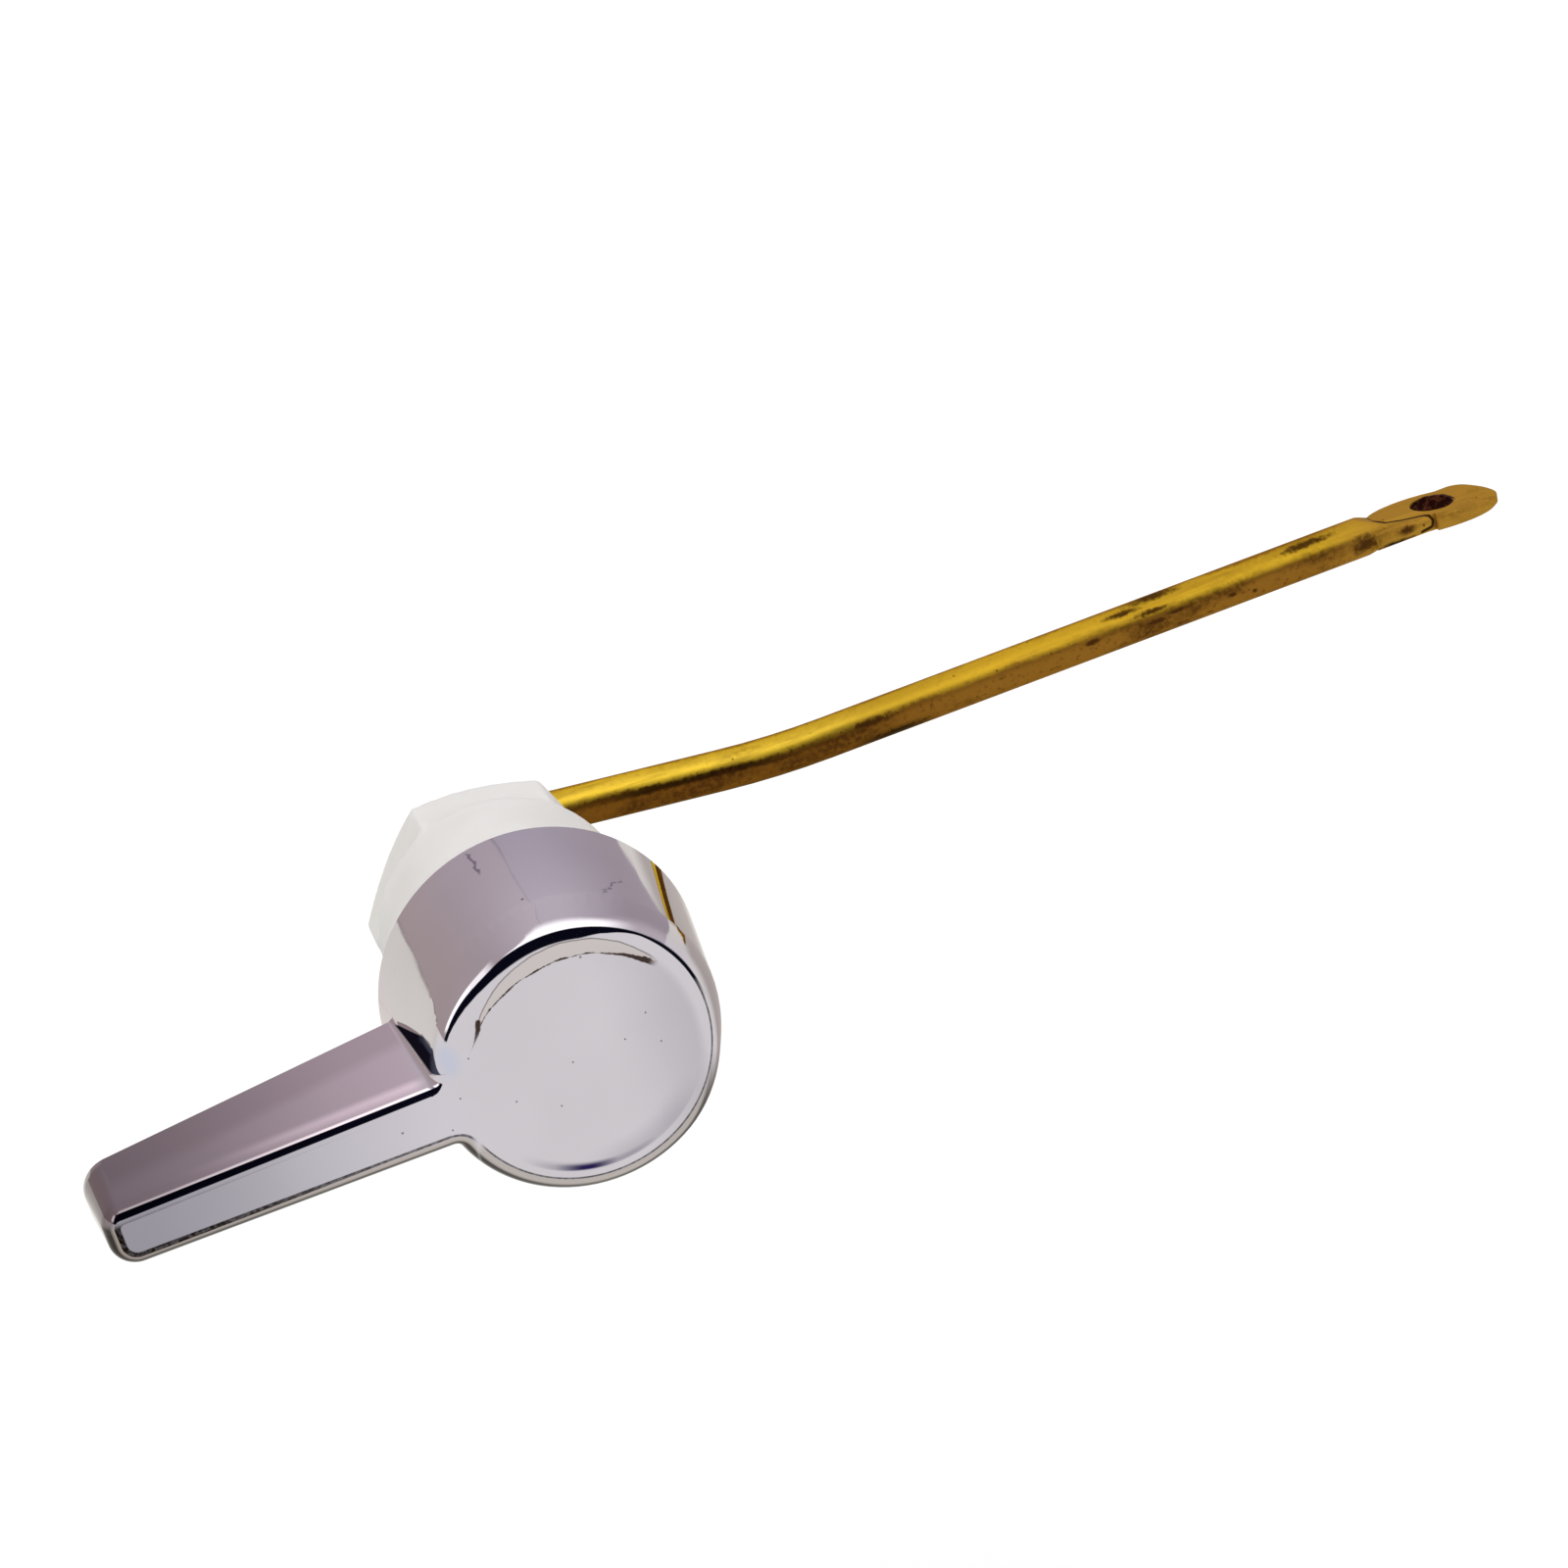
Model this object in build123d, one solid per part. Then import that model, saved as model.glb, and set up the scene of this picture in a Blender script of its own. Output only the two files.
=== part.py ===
from build123d import *
import os
from math import atan2, cos, degrees, pi, radians, sin, tan

# Cistern lever, in millimetres. +Y runs along the spindle into the tank, +X along the trip arm and +Z up.
# The origin is on the spindle axis, in the plane where the bushing's flange meets the tank wall.

# Handle: tapered hollow hub
hub_back_radius = 16.65
hub_front_radius = 14.55
hub_depth = 19.0
hub_wall = 2.0
face_wall = 2.2
face_fillet = 1.8
rim_clearance = 0.5
boss_radius = 5.2
boss_clearance = 0.3

# Handle: lever, sizes taken in its front face unless named otherwise
lever_reach = 48.4
lever_drop = 0.92
lever_root_height = 7.15
lever_tip_height = 6.35
lever_root_depth = 14.6
lever_tip_depth = 9.9
lever_wall = 1.8
lever_back_chamfer = 0.5
root_fillet = 0.8
tip_top_extra = 0.2
tip_bottom_extra = 0.8
core_corner_radius = 0.7

# Stop lug in the hub and the notch in the flange that it turns in
stroke = 40.0
lug_span = 18.0
lug_inner_radius = 10.8
lug_setback = 0.6
lug_clearance = 0.25

# Bushing
flange_radius = 13.2
flange_thickness = 3.0
neck_width = 15.6
neck_corner_radius = 1.4
neck_length = 6.5
shank_radius = 7.7
shank_length = 24.5
shank_chamfer = 0.8
running_clearance = 0.06

# Lock nut: a hollow round skirt that bears on the wall, then the threaded hexagon
nut_front = 5.0
skirt_radius = 13.5
skirt_length = 12.5
skirt_wall = 2.4
nut_web = 1.5
hexagon_length = 8.1
nut_across_flats = 24.0
nut_turn = 8.0
nut_rear_land = 0.4
thread_clearance = 0.2

# Trip arm
arm_radius = 2.38
arm_seat_depth = 11.5
press_clearance = 0.02
arm_offset = 42.3
bend_radius = 8.5
kink_reach = 36.8
kink_angle = 7.23
kink_radius = 100.0
collar_radius = 4.0
collar_width = 1.5
collar_clearance = 0.3
collar_chamfer = 0.4

# Flattened end of the arm, with the chain hole
arm_reach = 128.3
blade_length = 16.6
blade_half_length = 8.2
blade_half_width = 4.25
blade_shift = 0.6
blade_turn = 5.0
blade_thickness = 2.0
blade_roll = 1.2
blade_droop = 3.0
blade_chamfer = 0.4
ramp_length = 2.6
hole_radius = 2.5
hole_setback = 7.9
hole_shift = 0.8
lip_radius = 1.05
lip_seat = 2.65
lip_inset = 0.35
lip_sink = 0.3
lip_end_setback = 9.0

# Places that several pieces share
rim_y = -rim_clearance
face_y = rim_y - hub_depth
draft_angle = degrees(atan2(hub_back_radius - hub_front_radius, hub_depth))
flange_front_y = -flange_thickness
shank_end_y = neck_length + shank_length
arm_drop = kink_reach * tan(radians(kink_angle))
bore_radius = arm_radius + running_clearance
seat_end_y = flange_front_y - boss_clearance
low_align = (Align.CENTER, Align.CENTER, Align.MIN)
far = 4 * hub_back_radius
touch = 0.01


# Plane square to the spindle: local x towards the lever's tip, local y up, local z into the tank
def station(y):
    return Plane(origin=(0, y, 0), x_dir=(-1, 0, 0), z_dir=(0, 1, 0))


def spindle_disc(radius, start_y, end_y):
    return station(start_y) * Cylinder(radius, end_y - start_y, align=low_align)


# Cone about the spindle that narrows towards the front
def spindle_cone(back_radius, front_radius, depth):
    cone = Cone(back_radius, front_radius, depth, align=low_align)
    return station(rim_y) * Rot(180, 0, 0) * cone


# Piece of a ring about the spindle between two angles
def ring_sector(inner, outer, start_angle, end_angle, start_y, end_y):
    rays = [(far * cos(radians(a)), far * sin(radians(a))) for a in (start_angle, end_angle)]
    wedge = make_face(Polyline((0, 0), *rays, close=True))
    ring = (Circle(outer) - Circle(inner)) & wedge
    return extrude(station(start_y) * ring, amount=end_y - start_y)


# Lever outline in the front face, drawn in from its edges by inset and cut off at start
def lever_outline(start, inset, top_radius, bottom_radius):
    slope = (lever_root_height - lever_tip_height) / 2 / (lever_reach - hub_front_radius)
    end = lever_reach - inset
    half_start = lever_tip_height / 2 - inset + slope * (lever_reach - start)
    half_end = lever_tip_height / 2 - inset + slope * inset
    corners = [(start, half_start), (end, half_end), (end, -half_end), (start, -half_start)]
    outline = make_face(Polyline(*corners, close=True))
    high = outline.vertices().sort_by_distance((end, half_end))[0]
    outline = fillet(high, top_radius)
    low = outline.vertices().sort_by_distance((end, -half_end))[0]
    return Pos(0, -lever_drop) * fillet(low, bottom_radius)


# Outline run back from the front at the casting's draft
def drafted(outline, start_y):
    neutral = station(start_y)
    prism = extrude(neutral * outline, amount=hub_depth)
    sides = prism.faces().filter_by(Axis.Y, reverse=True)
    return draft(sides, neutral, -draft_angle)


# Sloping plane of the lever's back, its normal into the tank
def lever_back():
    root = Vector(-hub_front_radius, face_y + lever_root_depth, 0)
    tip = Vector(-lever_reach, face_y + lever_tip_depth, 0)
    along = (root - tip).normalized()
    return Plane(origin=root, x_dir=along, z_dir=Vector(0, 0, 1).cross(along))


def make_handle():
    hub = spindle_cone(hub_back_radius, hub_front_radius, hub_depth)
    back = lever_back()
    outline = lever_outline(0, 0, face_fillet + tip_top_extra, face_fillet + tip_bottom_extra)
    lever = split(drafted(outline, face_y), bisect_by=back, keep=Keep.BOTTOM)
    lever = chamfer(lever.faces().sort_by(Axis(back.origin, back.z_dir))[-1].edges(), lever_back_chamfer)
    body = hub + lever

    def side_meets_hub(edge):
        middle = edge @ 0.5
        along = edge % 0.5
        radius = hub_back_radius - (rim_y - middle.Y) * tan(radians(draft_angle))
        on_hub = abs((middle.X**2 + middle.Z**2) ** 0.5 - radius) < touch
        inside = face_y + touch < middle.Y < rim_y - touch and middle.X < 0
        return on_hub and inside and abs(along.Y) > abs(along.Z)

    body = fillet(body.edges().filter_by(side_meets_hub), root_fillet)
    body = fillet(body.faces().sort_by(Axis.Y)[0].outer_wire().edges(), face_fillet)

    floor_y = face_y + face_wall
    cavity_radius = hub_back_radius - hub_wall
    cavity_depth = rim_y - floor_y
    cavity_end = cavity_radius - cavity_depth * tan(radians(draft_angle))
    cavity = spindle_cone(cavity_radius, cavity_end, cavity_depth)
    core_start = hub_back_radius + lever_wall
    core = lever_outline(core_start, lever_wall, core_corner_radius, core_corner_radius)
    body -= cavity + drafted(core, floor_y)

    boss = spindle_disc(boss_radius, floor_y, seat_end_y)
    seat = spindle_disc(arm_radius + press_clearance, seat_end_y - arm_seat_depth, seat_end_y)
    rest_angle = -90 + stroke / 2
    lug_angles = rest_angle - lug_span / 2, rest_angle + lug_span / 2
    lug = ring_sector(lug_inner_radius, hub_back_radius, *lug_angles, floor_y, rim_y - lug_setback) & hub
    return body + boss + lug - seat


def make_bushing():
    flange = spindle_disc(flange_radius, flange_front_y, 0)
    reach = stroke / 2 + lug_span / 2 + degrees(lug_clearance / lug_inner_radius)
    notch_radius = lug_inner_radius - lug_clearance
    notch = ring_sector(notch_radius, far, -90 - reach, -90 + reach, flange_front_y, 0)
    square = RectangleRounded(neck_width, neck_width, neck_corner_radius)
    neck = extrude(station(0) * square, amount=neck_length)
    shank = spindle_disc(shank_radius, neck_length, shank_end_y)
    shank = chamfer(shank.edges().sort_by(Axis.Y)[-1], shank_chamfer)
    return flange - notch + neck + shank - spindle_disc(bore_radius, flange_front_y, shank_end_y)


def make_lock_nut():
    flat_radius = nut_across_flats / 2
    corner_radius = flat_radius / cos(pi / 6)
    skirt_end = nut_front + skirt_length
    rear_y = skirt_end + hexagon_length
    skirt = spindle_disc(skirt_radius, nut_front, skirt_end)
    hexagon = Rot(0, 0, nut_turn) * RegularPolygon(flat_radius, 6, major_radius=False)
    hexagon = extrude(station(skirt_end) * hexagon, amount=hexagon_length)
    blank = spindle_disc(corner_radius + nut_rear_land, nut_front, rear_y)
    blank = chamfer(blank.edges().sort_by(Axis.Y)[-1], corner_radius - flat_radius + 2 * nut_rear_land)
    nut = skirt + (hexagon & blank)
    nut -= spindle_disc(skirt_radius - skirt_wall, nut_front, skirt_end - nut_web)
    return nut - spindle_disc(shank_radius + thread_clearance, nut_front, rear_y)


# Coined end: an oval plate that the press left a little turned, rolled and drooping
def make_blade(start):
    place = Location(start, (-blade_roll, blade_droop, 0))
    oval = Rot(0, 0, -blade_turn) * Ellipse(blade_half_length, blade_half_width)
    oval = Pos(blade_length - blade_half_length, blade_shift) * oval
    plate = extrude(oval, amount=blade_thickness / 2, both=True)
    rims = plate.faces().sort_by(Axis.Z)
    plate = chamfer(rims[0].edges() + rims[-1].edges(), blade_chamfer)
    lip_reach = blade_length - lip_end_setback
    lip_room = Box(2 * lip_reach, far, far, align=(Align.CENTER, Align.MAX, Align.CENTER))
    plate -= Pos(0, -lip_seat, 0) * lip_room
    hole = Pos(blade_length - hole_setback, hole_shift, 0) * Cylinder(hole_radius, far)
    return place * plate, place * hole


# Flank of the rod that the press left standing along the plate's near edge, round at its end
def make_lip(start):
    length = blade_length - lip_end_setback - lip_radius
    bead = Rot(0, 90, 0) * Cylinder(lip_radius, length, align=low_align)
    bead += Pos(length, 0, 0) * Sphere(lip_radius)
    return Location(start) * Pos(0, lip_inset - lip_seat, -lip_sink) * bead


def make_trip_arm():
    start = Vector(arm_reach - blade_length, arm_offset, -arm_drop)
    rod_end = start + Vector(ramp_length / 2, 0, 0)
    path = FilletPolyline(
        (0, seat_end_y - arm_seat_depth, 0),
        (0, arm_offset, 0),
        (kink_reach, arm_offset, -arm_drop),
        tuple(rod_end),
        radius=[bend_radius, kink_radius],
    )
    rod = sweep(Plane(path @ 0, z_dir=path % 0) * Circle(arm_radius), path=path)
    ramp = Polyline(
        (-ramp_length / 2, arm_radius),
        (ramp_length / 2, blade_thickness / 2),
        (ramp_length, 2 * arm_radius),
        close=True,
    )
    ramp = extrude(Plane.XZ * make_face(ramp), amount=2 * arm_radius, both=True)
    rod -= Location(start) * (ramp + mirror(ramp, about=Plane.XY))
    collar_y = shank_end_y + collar_clearance
    collar = spindle_disc(collar_radius, collar_y, collar_y + collar_width)
    collar = chamfer(collar.edges().filter_by(GeomType.CIRCLE), collar_chamfer)
    blade, hole = make_blade(start)
    return rod + collar + blade + make_lip(start) - hole


pieces = {
    "handle": make_handle(),
    "bushing": make_bushing(),
    "lock_nut": make_lock_nut(),
    "trip_arm": make_trip_arm(),
}
os.makedirs("parts", exist_ok=True)
for name, piece in pieces.items():
    export_step(piece, f"parts/{name}.step")
    print(name, round(piece.volume), "mm3", piece.bounding_box().min, piece.bounding_box().max)
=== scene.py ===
from math import atan2, cos, degrees, hypot, pi, radians, sin
import bmesh
import bpy
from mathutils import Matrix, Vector


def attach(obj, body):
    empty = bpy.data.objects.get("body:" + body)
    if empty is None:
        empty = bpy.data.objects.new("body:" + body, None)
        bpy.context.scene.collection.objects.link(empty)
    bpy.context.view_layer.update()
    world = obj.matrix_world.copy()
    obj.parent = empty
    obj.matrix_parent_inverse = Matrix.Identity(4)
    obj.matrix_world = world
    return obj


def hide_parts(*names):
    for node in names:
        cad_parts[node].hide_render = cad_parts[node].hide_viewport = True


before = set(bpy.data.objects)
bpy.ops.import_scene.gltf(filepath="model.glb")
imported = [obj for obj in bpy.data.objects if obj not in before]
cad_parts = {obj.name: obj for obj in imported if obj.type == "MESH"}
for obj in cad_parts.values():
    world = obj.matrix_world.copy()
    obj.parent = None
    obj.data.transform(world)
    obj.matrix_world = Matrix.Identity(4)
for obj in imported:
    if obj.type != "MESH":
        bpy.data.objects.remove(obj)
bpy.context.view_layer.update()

scene = bpy.context.scene
mm = 0.001
# in m: vertices this close are one, and a cut this close to a vertex goes through it
weldGap = 1e-6
cutGap = 1e-7


# node shorthand: sockets get linked, plain values get set
def put(tree, kind, values=None, **settings):
    node = tree.nodes.new(kind)
    for name, value in settings.items():
        setattr(node, name, value)
    for name, value in (values or {}).items():
        if isinstance(value, bpy.types.NodeSocket):
            tree.links.new(value, node.inputs[name])
        else:
            node.inputs[name].default_value = value
    return node


def calc(tree, operation, first, second=0.0):
    return put(tree, "ShaderNodeMath", {0: first, 1: second}, operation=operation).outputs[0]


def vector(tree, operation, first, second=(0, 0, 0)):
    return put(tree, "ShaderNodeVectorMath", {0: first, 1: second}, operation=operation)


def times(tree, *factors):
    result = factors[0]
    for factor in factors[1:]:
        result = calc(tree, "MULTIPLY", result, factor)
    return result


def most(tree, *values):
    result = values[0]
    for value in values[1:]:
        result = calc(tree, "MAXIMUM", result, value)
    return result


# smooth step from start to end while value runs from low to high
def ease(tree, value, low, high, start=0.0, end=1.0):
    values = {"Value": value, "From Min": low, "From Max": high, "To Min": start, "To Max": end}
    return put(tree, "ShaderNodeMapRange", values, interpolation_type="SMOOTHSTEP").outputs["Result"]


def between(tree, value, low, high, soft):
    rise = ease(tree, value, low - soft, low + soft)
    return times(tree, rise, ease(tree, value, high + soft, high - soft))


# the same two for a length, with its limits in mm
def easeMm(tree, length, low, high, start=0.0, end=1.0):
    return ease(tree, length, low * mm, high * mm, start, end)


def betweenMm(tree, length, low, high, soft):
    return between(tree, length, low * mm, high * mm, soft * mm)


def blend(tree, amount, first, second, mode="MIX"):
    values = {0: amount, 6: first, 7: second}
    return put(tree, "ShaderNodeMix", values, data_type="RGBA", blend_type=mode).outputs[2]


def darken(tree, colour, share):
    grey = put(tree, "ShaderNodeCombineColor", {0: share, 1: share, 2: share}).outputs[0]
    return blend(tree, 1.0, colour, grey, "MULTIPLY")


def noise(tree, place, scale, detail=4.0, rough=0.5, stretch=(1, 1, 1)):
    if stretch != (1, 1, 1):
        place = put(tree, "ShaderNodeMapping", {"Vector": place, "Scale": stretch}).outputs[0]
    values = {"Vector": place, "Scale": scale, "Detail": detail, "Roughness": rough}
    return put(tree, "ShaderNodeTexNoise", values).outputs[0]


# noise as a shift to both sides
def shift(tree, source, size):
    return times(tree, calc(tree, "SUBTRACT", source, 0.5), size)


# round cells, some of them chosen: distance to the middle and choice run from none to full
def spots(tree, place, scale, distance, choice):
    cells = put(tree, "ShaderNodeTexVoronoi", {"Vector": place, "Scale": scale})
    chosen = put(tree, "ShaderNodeSeparateColor", {0: cells.outputs["Color"]}).outputs[0]
    return times(tree, ease(tree, cells.outputs["Distance"], *distance), ease(tree, chosen, *choice))


# distance to a point, each axis measured in its own reach
def reachTo(tree, place, centre, reach):
    away = vector(tree, "SUBTRACT", place, tuple(c * mm for c in centre)).outputs[0]
    away = vector(tree, "MULTIPLY", away, tuple(1 / (r * mm) for r in reach)).outputs[0]
    return vector(tree, "LENGTH", away).outputs["Value"]


# distance in mm to a line through points
def pathDistance(tree, place, points):
    nearest = None
    for first, last in zip(points, points[1:]):
        start = Vector(first) * mm
        run = Vector(last) * mm - start
        away = vector(tree, "SUBTRACT", place, start).outputs[0]
        along = vector(tree, "DOT_PRODUCT", away, run / run.length_squared).outputs["Value"]
        along = put(tree, "ShaderNodeClamp", {"Value": along}).outputs[0]
        foot = put(tree, "ShaderNodeVectorMath", {0: run, "Scale": along}, operation="SCALE").outputs[0]
        gap = times(tree, vector(tree, "DISTANCE", away, foot).outputs["Value"], 1 / mm)
        nearest = gap if nearest is None else calc(tree, "MINIMUM", nearest, gap)
    return nearest


# screen colour 0..255 to the linear value that nodes take
def tone(red, green, blue):
    return tuple(((c / 255 + 0.055) / 1.055) ** 2.4 for c in (red, green, blue)) + (1,)


def startMaterial(name):
    material = bpy.data.materials.new(name)
    material.use_nodes = True
    tree = material.node_tree
    tree.nodes.clear()
    return material, tree, put(tree, "ShaderNodeTexCoord").outputs["Object"]


def split(tree, place):
    return put(tree, "ShaderNodeSeparateXYZ", {0: place}).outputs


def finishMaterial(tree, shader):
    put(tree, "ShaderNodeOutputMaterial", {"Surface": shader})


def softStep(value, low, high):
    t = min(1.0, max(0.0, (value - low) / (high - low)))
    return t * t * (3 - 2 * t)


# merged copy of a CAD node's mesh, its flat faces in one piece
def copyNode(nodeName):
    bm = bmesh.new()
    bm.from_mesh(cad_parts[nodeName].data)
    bmesh.ops.remove_doubles(bm, verts=bm.verts, dist=weldGap)
    bmesh.ops.dissolve_limit(bm, angle_limit=radians(0.2), verts=bm.verts, edges=bm.edges)
    return bm


def withEdges(faces):
    return list(set(faces) | {e for f in faces for e in f.edges} | {v for f in faces for v in f.verts})


def cutAcross(bm, faces, point, normal):
    bmesh.ops.bisect_plane(bm, geom=withEdges(faces), dist=cutGap, plane_co=point, plane_no=normal)


def makePiece(bm, name, nodeName, bodyName, material, sharpAngle):
    mesh = bpy.data.meshes.new(name)
    bm.to_mesh(mesh)
    bm.free()
    mesh.shade_smooth()
    mesh.set_sharp_from_angle(angle=radians(sharpAngle))
    mesh.materials.append(material)
    piece = bpy.data.objects.new(name, mesh)
    scene.collection.objects.link(piece)
    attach(piece, bodyName)
    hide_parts(nodeName)
    print(name, "faces", len(mesh.polygons))
    return piece


def weightNormals(piece):
    modifier = piece.modifiers.new("evenNormals", "WEIGHTED_NORMAL")
    modifier.keep_sharp = True
    modifier.weight = 60


# Chrome handle: plating, the marks that wear leaves on it, and painted reflections and painted shade from
# the studio
# lengths in mm, angles in degrees round the spindle, 0 at the right and 90 on top

chrome = {
    "sharp": 40,
    "faceY": -19.5,
    "plate": (0.617, 0.587, 0.622, 1),
    "gloss": (0.03, 0.045),
    "brown": tone(46, 26, 15),
    "violet": tone(38, 28, 78),
    # noise: scale, detail, roughness
    "cloud": (90, 2),
    "wander": (420, 3),
    "fine": (2400, 3),
    "ripple": (160, 2),
    "rag": (900, 5, 0.7),
    # painted shade: the lever's front and sides at root and tip, the hub's face at the right; painted
    # highlight along the lever's upper edge
    "leverFront": ((1.0, 1.0, 1.02, 1), (0.51, 0.515, 0.56, 1)),
    "leverSides": ((1.08, 1.0, 1.0, 1), (0.38, 0.335, 0.34, 1)),
    "faceRight": (0.81, 0.81, 0.82, 1),
    "leverHighlight": (1.6, 1.6, 1.6, 1),
    # y from which the face is tinted and marked
    "tintDepth": (-19.15, -19.42),
    "markDepth": (-18.3, -18.8),
    # x over which each painted shade comes in
    "rightRun": (2, 13),
    "frontRun": (-12.5, -47),
    "frontFrom": (-12, -13),
    "sidesRun": (-8, -50),
    "sidesFrom": (-14.6, -16.5),
    # painted highlight along the lever's upper edge: span in y with softness, start in z and in x
    "highlightSpan": (-18.6, -17.4, 0.7),
    "highlightOver": (0.0, 1.0),
    "highlightRun": (-42, -26),
}

# painted reflection at the top of the face
crescent = {
    "beige": tone(196, 184, 172),
    # circles: centre x, z and radius
    "brownArc": (0.26, -2.09, 12.51),
    "thinArc": (0.4, 1.12, 10.82),
    "shake": 0.4,
    # angles with softness
    "span": (36, 142, 4),
    "brownSpan": (35, 142, 3),
    # half width of the brown line: ragged, and more at its right end
    "ragged": (0.35, 0.7, 0.0, 0.14),
    "rightEnd": (66, 40, 0.0, 0.2),
    # painted brown streak at the left end: line, then half width and strength by z
    "tail": ((-8.5, 0, 7.3), (-8.75, 0, 6.5), (-9.5, 0, 5.4), (-10.7, 0, 3.8)),
    "tailWidth": (4.2, 7.2, 0.12, 0.42),
    "tailFade": (3.6, 6.6, 0.12, 1.0),
}


# painted reflection of a crescent at the top of the face: beige between two lines, brown streaks at its
# ends
def paintedCrescent(tree, place, flat, z, angle, front, wander, colour):
    def arc(name):
        cx, cz, reach = crescent[name]
        away = reachTo(tree, flat, (cx, 0, cz), (1, 1, 1))
        away = calc(tree, "ADD", away, shift(tree, wander, crescent["shake"]))
        return calc(tree, "SUBTRACT", away, reach)

    brownArc = arc("brownArc")
    thinArc = arc("thinArc")
    span = between(tree, angle, *crescent["span"])
    fill = times(tree, ease(tree, brownArc, -0.1, 0.1), ease(tree, thinArc, 0.1, -0.1), span, front)
    colour = blend(tree, times(tree, fill, 0.45), colour, crescent["beige"])
    thin = times(tree, ease(tree, calc(tree, "ABSOLUTE", thinArc), 0.1, 0.02), span, front, 0.6)
    colour = blend(tree, thin, colour, chrome["brown"])
    rag = noise(tree, place, *chrome["rag"])
    half = calc(tree, "ADD", ease(tree, rag, *crescent["ragged"]), ease(tree, angle, *crescent["rightEnd"]))
    line = ease(tree, calc(tree, "SUBTRACT", calc(tree, "ABSOLUTE", brownArc), half), 0.05, -0.05)
    line = times(tree, line, between(tree, angle, *crescent["brownSpan"]), front)
    away = calc(tree, "ADD", pathDistance(tree, flat, crescent["tail"]), times(tree, rag, 0.3))
    away = calc(tree, "SUBTRACT", away, easeMm(tree, z, *crescent["tailWidth"]))
    tail = times(tree, ease(tree, away, 0.06, -0.1), easeMm(tree, z, *crescent["tailFade"]), front)
    line = most(tree, line, tail)
    return blend(tree, times(tree, line, 0.95), colour, chrome["brown"]), line


lowReflection = {
    # core, trail and haze of the painted reflection: angles with softness, radii where it begins and is
    # full, strength
    "parts": (
        ((-118, -91, 12), (11.3, 11.9), 1.0),
        ((-126, -68, 14), (11.2, 12.0), 0.45),
        ((-96, -44, 16), (9.4, 12.2), 0.24),
    ),
    "outerEnd": (12.4, 12.15),
}


# painted reflection of something dark: violet at the bottom of the face
def paintedLowReflection(tree, radius, angle, front, colour):
    reflected = 0.0
    for span, band, strength in lowReflection["parts"]:
        part = times(tree, between(tree, angle, *span), easeMm(tree, radius, *band), strength)
        reflected = most(tree, reflected, part)
    reflected = times(tree, reflected, easeMm(tree, radius, *lowReflection["outerEnd"]), front)
    return blend(tree, reflected, colour, chrome["violet"])


lowerEdge = {
    "line": tone(24, 16, 11),
    "beige": tone(166, 155, 140),
    "shade": (tone(38, 36, 38), tone(5, 3, 3)),
    "radius": 13.1,
    # the hub's edge: angles with softness, start in x, depth in y
    "hubSpan": (-156, 12, 3),
    "hubFrom": (-12.9, -12.4),
    "hubDepth": (-17.4, -17.8),
    # the lever's edge: start in x, top in z
    "leverFrom": (-12.2, -12.9),
    "leverBelow": (1.2, 0.4),
    # painted reflection as a dark line: on the hub by distance from the radius, on the lever by depth,
    # deeper towards the tip
    "hubLine": (-0.1, 0.1, 0.05),
    "leverStart": (0.003, 0.01),
    "leverDepth": (-18, -46, 0.045, 0.13),
    "leverEnd": (0.015, -0.01),
    "leverStrength": (-12, -46, 0.85, 1.0),
    # painted reflection of the pale floor as beige past the line, and painted shade at the outline
    "beigeAngles": (-18, -48),
    "hubBeige": (0.1, 0.16),
    "leverBeige": (0.04, 0.08),
    "shadeAngles": (-105, -150),
    "shadeDepth": (0.16, 0.42),
}


# painted reflections along the lower edges: a dark line and beige below it, and painted shade at the
# outline
def lowerEdges(tree, x, y, z, radius, angle, fine, colour):
    hub = times(tree, between(tree, angle, *lowerEdge["hubSpan"]), easeMm(tree, x, *lowerEdge["hubFrom"]))
    lever = times(tree, easeMm(tree, x, *lowerEdge["leverFrom"]), easeMm(tree, z, *lowerEdge["leverBelow"]))
    depth = times(tree, calc(tree, "SUBTRACT", y, chrome["faceY"] * mm), 1 / mm)
    ring = calc(tree, "SUBTRACT", times(tree, radius, 1 / mm), lowerEdge["radius"])
    low = easeMm(tree, y, *lowerEdge["hubDepth"])
    hubLine = times(tree, between(tree, ring, *lowerEdge["hubLine"]), hub, low)
    past = calc(tree, "SUBTRACT", depth, easeMm(tree, x, *lowerEdge["leverDepth"]))
    leverLine = times(tree, ease(tree, depth, *lowerEdge["leverStart"]), lever)
    leverLine = times(tree, leverLine, ease(tree, past, *lowerEdge["leverEnd"]))
    under = times(tree, hub, ease(tree, angle, *lowerEdge["beigeAngles"]))
    warm = times(tree, ease(tree, ring, *lowerEdge["hubBeige"]), under, low)
    warm = most(tree, warm, times(tree, ease(tree, depth, *lowerEdge["leverBeige"]), lever))
    shade = times(tree, warm, ease(tree, depth, *lowerEdge["shadeDepth"]))
    dark = blend(tree, ease(tree, angle, *lowerEdge["shadeAngles"]), *lowerEdge["shade"])
    colour = blend(tree, times(tree, warm, 0.6), colour, lowerEdge["beige"])
    colour = blend(tree, times(tree, shade, 0.9), colour, dark)
    uneven = ease(tree, fine, 0.35, 0.6, 0.8, 1.0)
    thick = times(tree, easeMm(tree, x, *lowerEdge["leverStrength"]), uneven)
    line = times(tree, most(tree, hubLine, leverLine), thick)
    return blend(tree, line, colour, lowerEdge["line"]), line


# painted reflection of the lever's top in the hub's side, and a pale blue patch
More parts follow.
